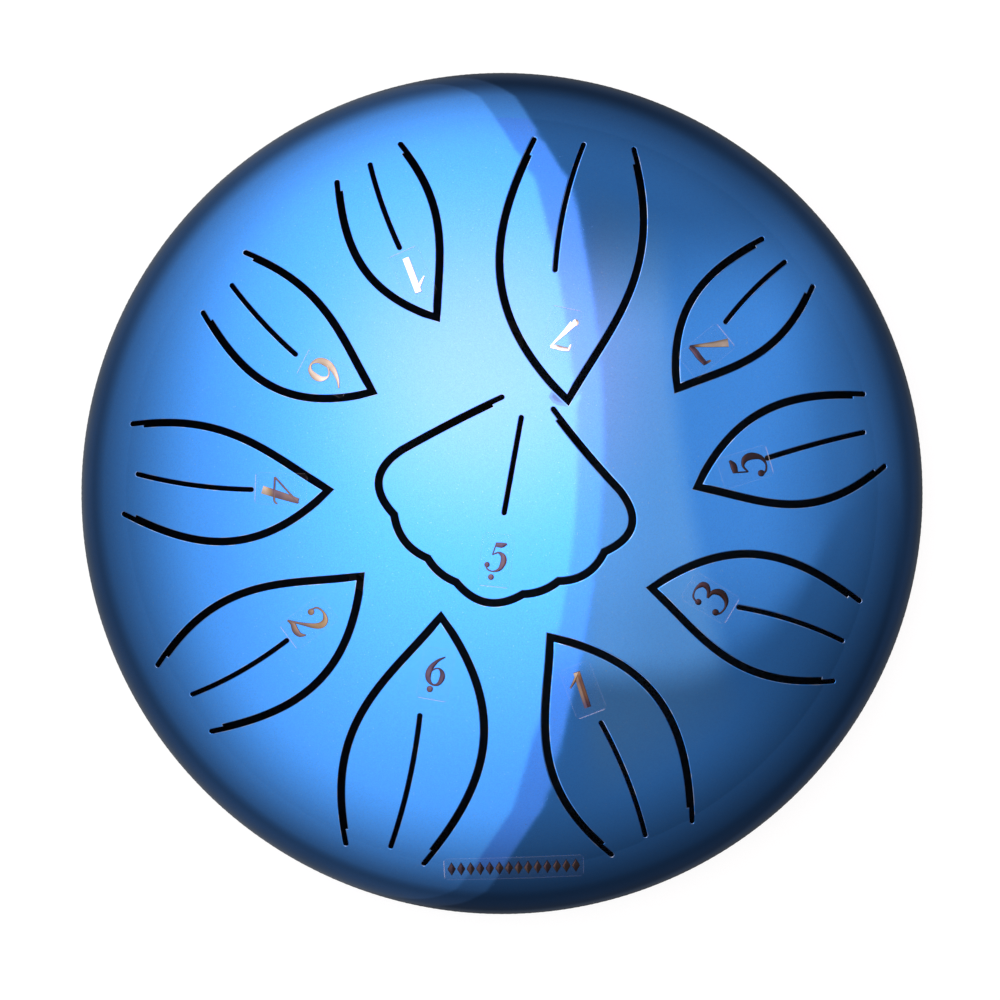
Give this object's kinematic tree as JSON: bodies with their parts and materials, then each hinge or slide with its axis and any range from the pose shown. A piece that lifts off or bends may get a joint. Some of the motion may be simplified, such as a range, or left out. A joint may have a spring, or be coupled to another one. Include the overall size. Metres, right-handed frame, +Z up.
{
  "type": "steel tongue drum",
  "caption": "Round steel tongue drum of two welded bowls, with leaf-shaped tongues, numbered clear stickers, a sound hole below and rubber feet.",
  "frame": {"origin": "on the ground under the drum's axis, in the plane of the soles of the feet", "axes": "+Z up along the drum's axis, -Y towards the player, +X to the player's right"},
  "size_m": [0.2548, 0.2548, 0.1445],
  "materials": {
    "pearl_blue_paint": "metallic pearl blue under a clear coat",
    "rim_paint": "dark navy over the ground weld",
    "clear_film": "clear glossy film",
    "numeral_foil": "rose gold foil",
    "black_rubber": "matte moulded rubber",
    "zinc_steel": "bright zinc plate"
  },
  "bodies": {
    "root": {"upper_shell": "pearl_blue_paint", "lower_shell": "pearl_blue_paint", "seam_weld": "rim_paint", "rim_film": "clear_film", "sticker_low_5": "clear_film", "sticker_low_6": "clear_film", "sticker_low_7": "clear_film", "sticker_1": "clear_film", "sticker_2": "clear_film", "sticker_3": "clear_film", "sticker_4": "clear_film", "sticker_5": "clear_film", "sticker_6": "clear_film", "sticker_7": "clear_film", "sticker_high_1": "clear_film", "foot_1": "black_rubber", "foot_2": "black_rubber", "foot_3": "black_rubber", "foot_screw_1": "zinc_steel", "foot_screw_2": "zinc_steel", "foot_screw_3": "zinc_steel", "foot_cup_washer_1": "zinc_steel", "foot_cup_washer_2": "zinc_steel", "foot_cup_washer_3": "zinc_steel", "foot_inner_washer_1": "zinc_steel", "foot_inner_washer_2": "zinc_steel", "foot_inner_washer_3": "zinc_steel", "foot_nut_1": "zinc_steel", "foot_nut_2": "zinc_steel", "foot_nut_3": "zinc_steel"}
  },
  "joints": []
}
